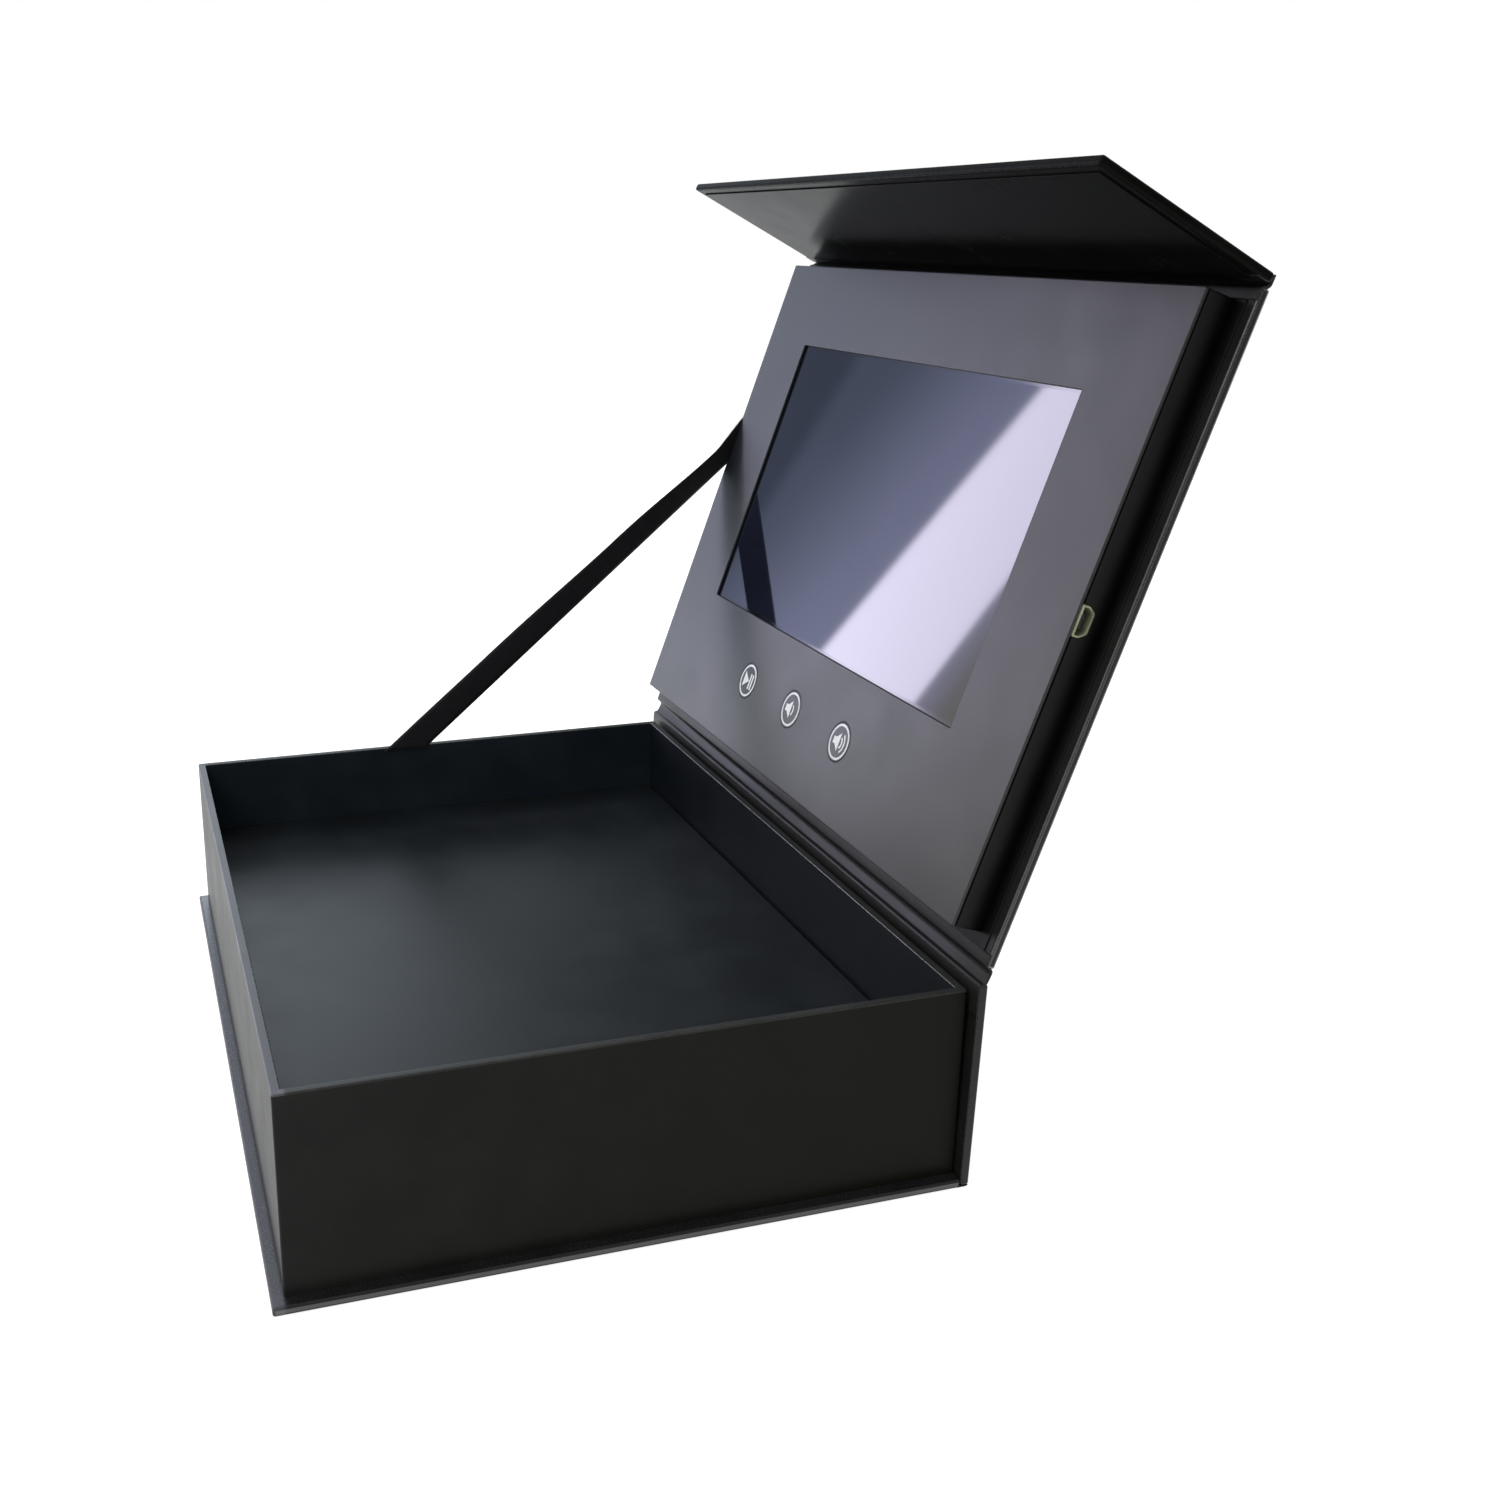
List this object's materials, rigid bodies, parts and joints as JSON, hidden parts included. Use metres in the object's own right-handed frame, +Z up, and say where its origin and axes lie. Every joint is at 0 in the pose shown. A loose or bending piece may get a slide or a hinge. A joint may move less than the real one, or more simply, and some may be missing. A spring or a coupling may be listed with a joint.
{
  "type": "lcd video brochure",
  "caption": "Rigid hinged presentation box with a screen, press keys and a charging socket in its lid, and a magnetic closing flap.",
  "frame": {"origin": "under the middle of the tray, on the underside of the base board", "axes": "+Z up, +Y from the front towards the hinge, +X along the hinge to the right of a person facing the screen"},
  "size_m": [0.2262, 0.224, 0.2363],
  "materials": {
    "case_wrap": "matt paper-wrapped grey board",
    "tray_wrap": "matt paper-wrapped grey board",
    "lining_paper": "matt paper",
    "panel_card": "soft satin laminated card",
    "key_cap": "satin, with a white ring and sign",
    "screen_glass": "dark polished screen",
    "light_guide": "clear acrylic sheets",
    "plate_steel": "plain sheet",
    "foam": "closed-cell foam",
    "flex_film": "amber film",
    "circuit_board": "solder mask",
    "chip_plastic": "moulded black",
    "shim_card": "grey board",
    "socket_metal": "plated shell",
    "cell_pouch": "foil pouch",
    "lead_rubber": "insulated two-core lead",
    "magnet_metal": "plated magnet",
    "ribbon": "woven ribbon"
  },
  "bodies": {
    "tray": {"base_board": "case_wrap", "base_crease": "case_wrap", "spine_board": "case_wrap", "tray_floor": "case_wrap", "raised_floor": "tray_wrap", "floor_rib": "shim_card", "floor_lining": "lining_paper", "front_wall": "tray_wrap", "rear_wall": "tray_wrap", "left_wall": "tray_wrap", "right_wall": "tray_wrap", "catch_plates": "plate_steel", "strap": "ribbon"},
    "lid": {"lid_crease": "case_wrap", "lid_board": "case_wrap", "lid_liner": "lining_paper", "fold_crease": "case_wrap", "panel_rail_left": "panel_card", "panel_rail_right": "panel_card", "panel_rail_top": "panel_card", "panel_rail_bottom": "panel_card", "panel_face": "panel_card", "screen_glass": "screen_glass", "screen_backlight": "light_guide", "screen_frame": "plate_steel", "screen_pads": "foam", "screen_flex": "flex_film", "driver_board": "circuit_board", "driver_chips": "chip_plastic", "driver_pads": "foam", "socket_shell": "socket_metal", "socket_tongue": "chip_plastic", "key_board": "circuit_board", "key_switches": "chip_plastic", "key_shim": "shim_card", "cell": "cell_pouch", "cell_lead": "lead_rubber", "speaker": "chip_plastic", "speaker_lead": "lead_rubber"},
    "play_button": {"play_key": "key_cap"},
    "volume_down_button": {"volume_down_key": "key_cap"},
    "volume_up_button": {"volume_up_key": "key_cap"},
    "flap": {"flap_board": "case_wrap", "flap_liner": "lining_paper", "flap_magnets": "magnet_metal"}
  },
  "joints": [
    {"name": "lid_hinge", "type": "hinge", "parent": "tray", "child": "lid", "pos_m": [0, 0.08418, 0.0541], "axis": [1, 0, 0], "range_deg": [0, 109.5], "deforming": ["strap"]},
    {"name": "flap_hinge", "type": "hinge", "parent": "lid", "child": "flap", "pos_m": [0, 0.14024, 0.2124], "axis": [1, 0, 0], "range_deg": [-81.5, 8.5]},
    {"name": "play_press", "type": "slide", "parent": "lid", "child": "play_button", "axis": [0, 0.9426, -0.3338], "range_m": [0, 0.0004], "stiffness_N_per_m": 1200, "springref_m": -0.0004},
    {"name": "volume_down_press", "type": "slide", "parent": "lid", "child": "volume_down_button", "axis": [0, 0.9426, -0.3338], "range_m": [0, 0.0004], "stiffness_N_per_m": 1200, "springref_m": -0.0004},
    {"name": "volume_up_press", "type": "slide", "parent": "lid", "child": "volume_up_button", "axis": [0, 0.9426, -0.3338], "range_m": [0, 0.0004], "stiffness_N_per_m": 1200, "springref_m": -0.0004}
  ]
}
